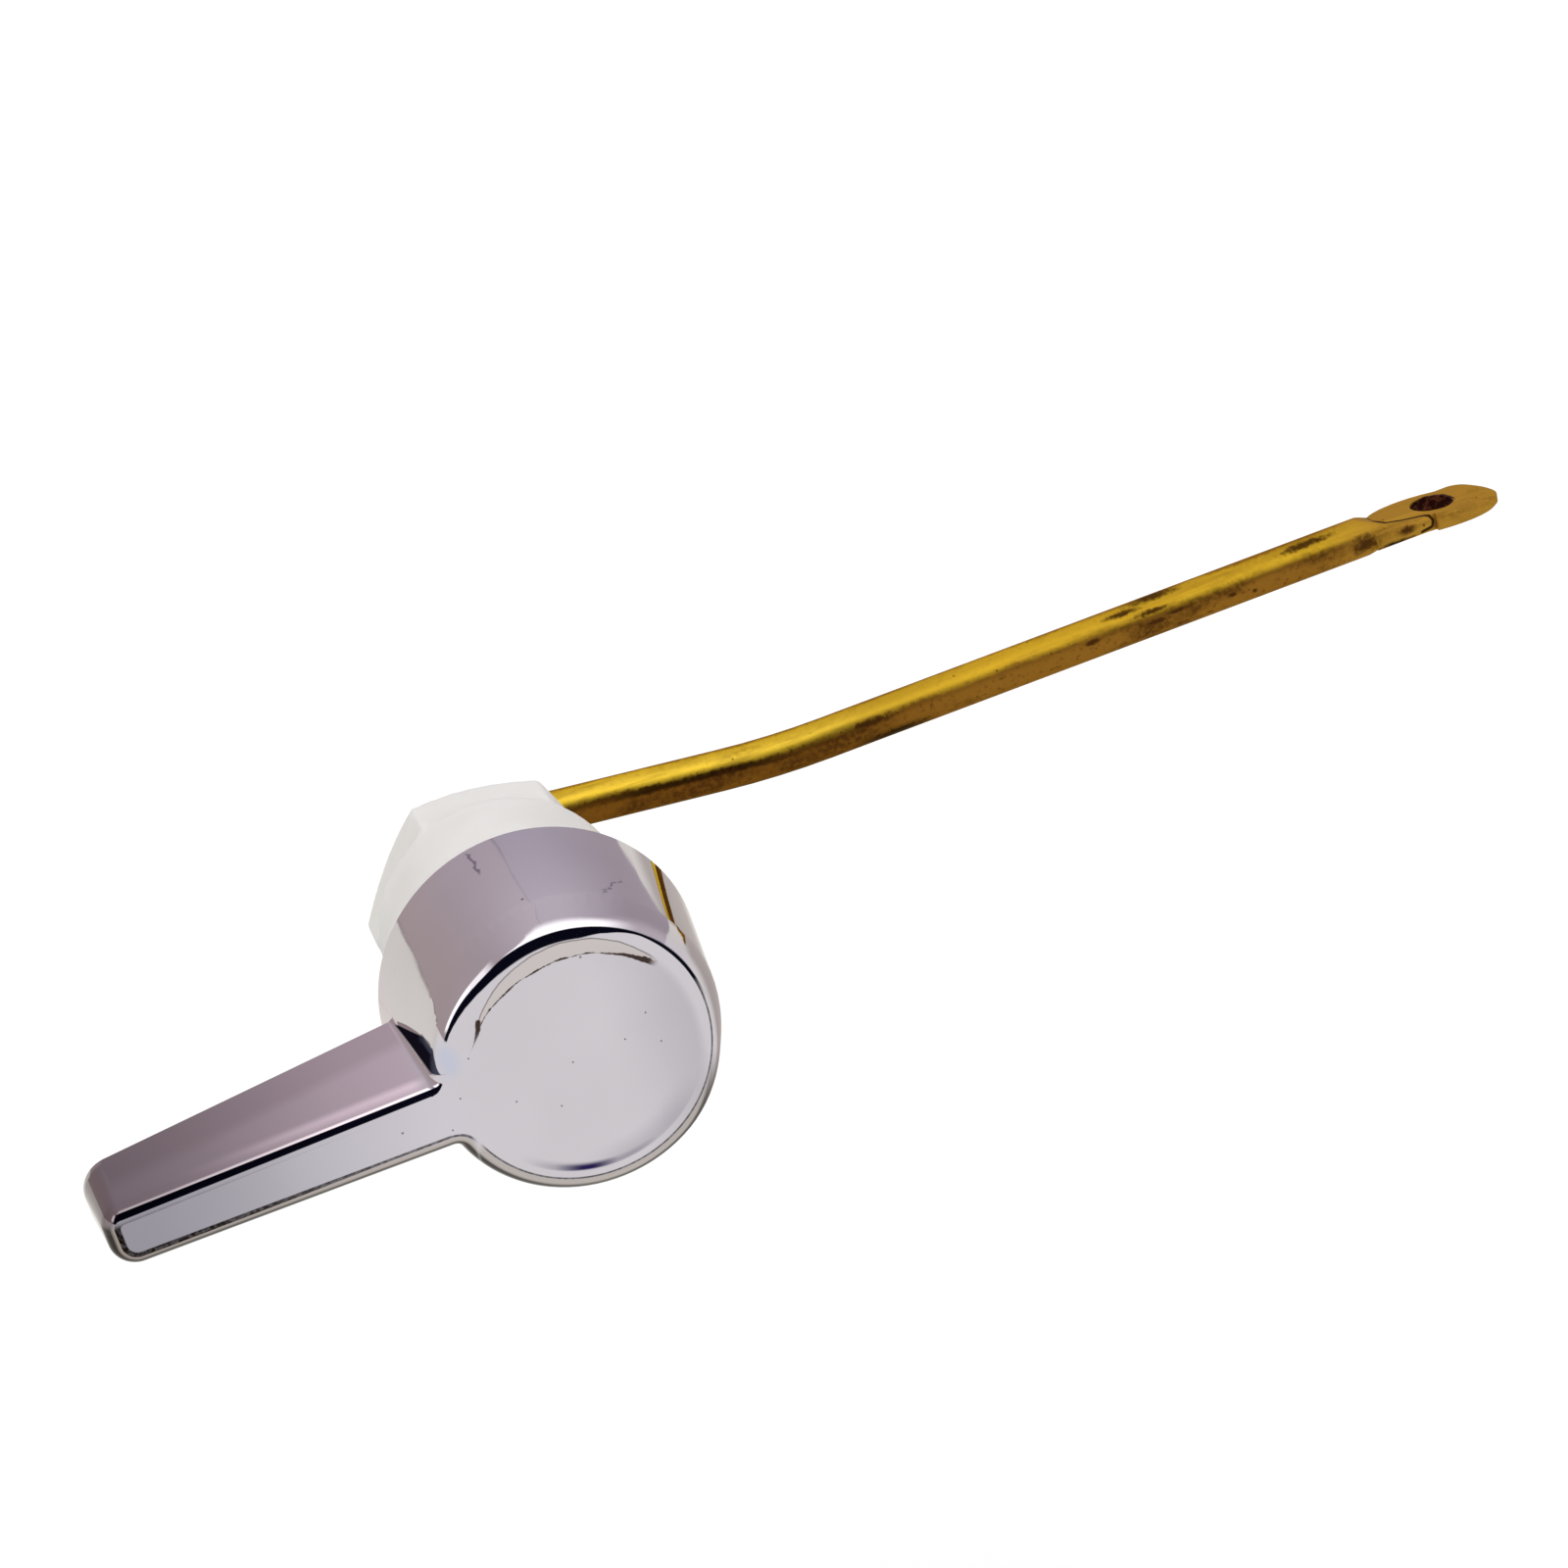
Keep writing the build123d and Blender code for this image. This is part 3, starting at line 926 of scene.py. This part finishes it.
# Studio: floor, reflection tent, lamp, camera (m and degrees)

studio = {
    "floorLevel": -0.14,
    "floorSize": 4.0,
    "floorCells": 8,
    "floorShades": ((0.79, 0.79, 0.79, 1), (0.81, 0.81, 0.81, 1)),
    "floorGlow": 0.29,
    "worldLight": 0.45,
    "lampPower": 1.68,
    "lampSpread": 45.0,
    "lampFrom": (0.02, -0.3, 1.0),
    "cameraPlace": (-0.027532, -0.341439, 0.163378),
    "cameraTurn": (65.268, 15.32, -16.486),
    "lens": 85.5,
    "sensor": 36.0,
    "clipStart": 0.01,
}


# strength 1 for what the eye, mirrors and glass see
def seenRay(tree):
    path = put(tree, "ShaderNodeLightPath")
    return most(tree, *(path.outputs[f"Is {kind} Ray"] for kind in ("Camera", "Glossy", "Transmission")))


def makeFloor():
    bm = bmesh.new()
    cells = studio["floorCells"]
    bmesh.ops.create_grid(bm, x_segments=cells, y_segments=cells, size=studio["floorSize"])
    bmesh.ops.translate(bm, verts=bm.verts, vec=(0, 0, studio["floorLevel"]))
    mesh = bpy.data.meshes.new("floor")
    bm.to_mesh(mesh)
    bm.free()
    floor = bpy.data.objects.new("floor", mesh)
    scene.collection.objects.link(floor)
    material, tree, place = startMaterial("paleFloor")
    shade = blend(tree, noise(tree, place, 3, 2), *studio["floorShades"])
    lit = put(tree, "ShaderNodeBsdfDiffuse", {"Color": shade}).outputs[0]
    strength = times(tree, seenRay(tree), studio["floorGlow"])
    glow = put(tree, "ShaderNodeEmission", {"Strength": strength}).outputs[0]
    finishMaterial(tree, put(tree, "ShaderNodeAddShader", {0: lit, 1: glow}).outputs[0])
    mesh.materials.append(material)
    floor.visible_glossy = False


# what the chrome mirrors: a mauve wall behind, pale sides and floor, a black flag and a soft box in front
tent = {
    "radius": 8.0,
    "segments": (64, 32),
    # line of sight to the hub; a place in the tent is named by the slope of chrome that mirrors it:
    # tilt away from the hub's face and turn round the spindle, in degrees
    "viewLine": (0.0722, 0.8897, -0.4508),
    # (tilt, turn) at both ends of each upright line
    "corner": ((84.7, 88.4), (85.5, 91.1)),
    "leftSeam": ((84.7, 142.0), (85.5, 134.0)),
    "rightSeam": ((84.7, 34.0), (85.7, 45.5)),
    "leftWall": (0.52, 0.44, 0.43, 1),
    "leftCorner": (0.585, 0.51, 0.565, 1),
    "rightCorner": (0.55, 0.5, 0.585, 1),
    "rightWall": (0.48, 0.42, 0.465, 1),
    "front": (1.0, 0.995, 0.99, 1),
    "back": (0.91, 0.89, 0.835, 1),
    "backRight": (0.57, 0.52, 0.49, 1),
    "glow": (0.86, 0.8, 0.86, 1),
    "seam": (0.1, 0.075, 0.07, 1),
    "black": (0.004, 0.004, 0.012, 1),
    "white": (1.9, 1.9, 1.9, 1),
    # turns over which the walls change colour
    "leftTurns": (140, 92),
    "rightTurns": (84, 46),
    # lower right of the back: compass bearing, elevation and depth
    "backBearing": (8, 22),
    "backElevation": (-2, -9),
    "backDepth": (0.1, 0.4),
    # tilt of the flag's lower and upper edge by turn, right and left of its middle, and its ends
    "flagLow": ((45, 75, 39.5, 19.5), (105, 140, 0.0, 4.5)),
    "flagTop": ((25, 75, 46.0, 41.0), (105, 140, 0.0, 8.0)),
    "flagRight": (4, 14),
    "flagLeft": (146, 140),
    "seamTilt": (70, 80),
    # light up the wall and beside the flag
    "glowTilt": (85.7, 84.4),
    "glowTurns": (66, 100, 16),
    "besideTilt": (18, 3),
    "besideTurns": (20, 76, 6),
    # soft box: how far it reaches over the flag by turn, its ends, and its strip at the left
    "boxReach": (60, 85, 11.0, 15.0),
    "boxNarrow": (88, 105, 1.0, 0.15),
    "boxRight": (46, 68),
    "boxLeft": (110, 104),
    "stripTurns": (116, 136, 4),
    "stripTilt": (9.0, 7.0),
}


def makeTent():
    bm = bmesh.new()
    around, upward = tent["segments"]
    bmesh.ops.create_uvsphere(bm, u_segments=around, v_segments=upward, radius=tent["radius"])
    bmesh.ops.reverse_faces(bm, faces=bm.faces)
    mesh = bpy.data.meshes.new("reflectionTent")
    bm.to_mesh(mesh)
    bm.free()
    mesh.shade_smooth()
    dome = bpy.data.objects.new("reflectionTent", mesh)
    scene.collection.objects.link(dome)
    material, tree, place = startMaterial("tentCloth")
    unit = vector(tree, "NORMALIZE", place).outputs[0]
    across, deep, high = split(tree, unit)
    elevation = times(tree, calc(tree, "ARCSINE", high), 180 / pi)
    bearing = times(tree, calc(tree, "ARCTAN2", across, deep), 180 / pi)
    middle = vector(tree, "SUBTRACT", unit, tent["viewLine"]).outputs[0]
    middle = vector(tree, "NORMALIZE", middle).outputs[0]
    slopeX, slopeY, slopeZ = split(tree, middle)
    tilt = times(tree, calc(tree, "ARCCOSINE", times(tree, slopeY, -1.0)), 180 / pi)
    turn = times(tree, calc(tree, "ARCTAN2", slopeZ, slopeX), 180 / pi)

    # how far a turn lies past a leaning line
    def past(name):
        (lowTilt, lowTurn), (highTilt, highTurn) = tent[name]
        values = {"Value": tilt, "From Min": lowTilt, "From Max": highTilt}
        values.update({"To Min": lowTurn, "To Max": highTurn})
        return calc(tree, "SUBTRACT", turn, put(tree, "ShaderNodeMapRange", values).outputs["Result"])

    # wall with a corner, between a pale left and right
    left = blend(tree, ease(tree, turn, *tent["leftTurns"]), tent["leftWall"], tent["leftCorner"])
    right = blend(tree, ease(tree, turn, *tent["rightTurns"]), tent["rightCorner"], tent["rightWall"])
    corner = past("corner")
    wall = blend(tree, ease(tree, corner, 0.15, -0.15), left, right)
    wall = blend(tree, times(tree, between(tree, corner, -0.2, 0.3, 0.2), 0.4), wall, tent["seam"])
    pastLeft = past("leftSeam")
    panel = times(tree, ease(tree, pastLeft, 0.4, -0.4), ease(tree, past("rightSeam"), -0.6, 0.6))
    pale = blend(tree, ease(tree, deep, -0.1, 0.3), tent["front"], tent["back"])
    lowRight = ease(tree, bearing, *tent["backBearing"])
    lowRight = times(tree, lowRight, ease(tree, elevation, *tent["backElevation"]))
    lowRight = times(tree, lowRight, ease(tree, deep, *tent["backDepth"]))
    pale = blend(tree, lowRight, pale, tent["backRight"])

    # black flag, thinner towards both sides
    low, lowLeft = (ease(tree, turn, *edge) for edge in tent["flagLow"])
    top, topLeft = (ease(tree, turn, *edge) for edge in tent["flagTop"])
    overLow = calc(tree, "SUBTRACT", tilt, calc(tree, "ADD", low, lowLeft))
    overTop = calc(tree, "SUBTRACT", tilt, calc(tree, "SUBTRACT", top, topLeft))
    flag = times(tree, ease(tree, overLow, -1.0, 0.6), ease(tree, overTop, 1.2, -0.8))
    flag = times(tree, flag, ease(tree, turn, *tent["flagRight"]), ease(tree, turn, *tent["flagLeft"]))
    over = ease(tree, overLow, 0, 1)
    light = blend(tree, times(tree, panel, over), pale, wall)
    seam = times(tree, between(tree, pastLeft, -1.2, -0.2, 0.4), ease(tree, tilt, *tent["seamTilt"]), 0.3)
    light = blend(tree, seam, light, tent["seam"])

    # soft box over the flag, its light running out up the wall
    glow = times(tree, ease(tree, tilt, *tent["glowTilt"]), between(tree, turn, *tent["glowTurns"]))
    beside = ease(tree, overTop, *tent["besideTilt"])
    beside = times(tree, beside, between(tree, turn, *tent["besideTurns"]))
    light = blend(tree, times(tree, most(tree, glow, beside), over, 0.55), light, tent["glow"])
    reach = times(tree, ease(tree, turn, *tent["boxReach"]), ease(tree, turn, *tent["boxNarrow"]))
    core = times(tree, ease(tree, turn, *tent["boxRight"]), ease(tree, turn, *tent["boxLeft"]))
    core = times(tree, core, ease(tree, overTop, reach, times(tree, reach, 0.4)))
    strip = times(tree, between(tree, turn, *tent["stripTurns"]), ease(tree, overTop, *tent["stripTilt"]))
    light = blend(tree, times(tree, most(tree, core, strip), over), light, tent["white"])
    light = blend(tree, flag, light, tent["black"])
    finishMaterial(tree, put(tree, "ShaderNodeEmission", {"Color": light, "Strength": 1.0}).outputs[0])
    material.cycles.emission_sampling = "NONE"
    mesh.materials.append(material)
    dome.visible_camera = False
    dome.visible_diffuse = False
    dome.visible_shadow = False
    dome.visible_transmission = False


def makeWorld():
    world = bpy.data.worlds.new("studioWhite")
    scene.world = world
    world.use_nodes = True
    tree = world.node_tree
    tree.nodes.clear()
    strength = most(tree, seenRay(tree), studio["worldLight"])
    light = put(tree, "ShaderNodeBackground", {"Color": (1, 1, 1, 1), "Strength": strength}).outputs[0]
    put(tree, "ShaderNodeOutputWorld", {"Surface": light})


def makeLamp():
    lamp = bpy.data.lights.new("overheadLight", "SUN")
    lamp.energy = studio["lampPower"]
    lamp.angle = radians(studio["lampSpread"])
    holder = bpy.data.objects.new("overheadLight", lamp)
    holder.rotation_euler = Vector(studio["lampFrom"]).to_track_quat("Z", "Y").to_euler()
    holder.visible_glossy = False
    scene.collection.objects.link(holder)


def makeCamera():
    camera = bpy.data.cameras.new("camera")
    camera.sensor_width = studio["sensor"]
    camera.lens = studio["lens"]
    camera.clip_start = studio["clipStart"]
    holder = bpy.data.objects.new("camera", camera)
    holder.location = studio["cameraPlace"]
    holder.rotation_euler = [radians(a) for a in studio["cameraTurn"]]
    scene.collection.objects.link(holder)
    scene.camera = holder


makeHandle()
makeLockNut()
makeBushing()
makeTripArm()
print("pieces made")
makeFloor()
makeTent()
makeWorld()
makeLamp()
makeCamera()
print("studio made")

scene.view_settings.view_transform = "Standard"
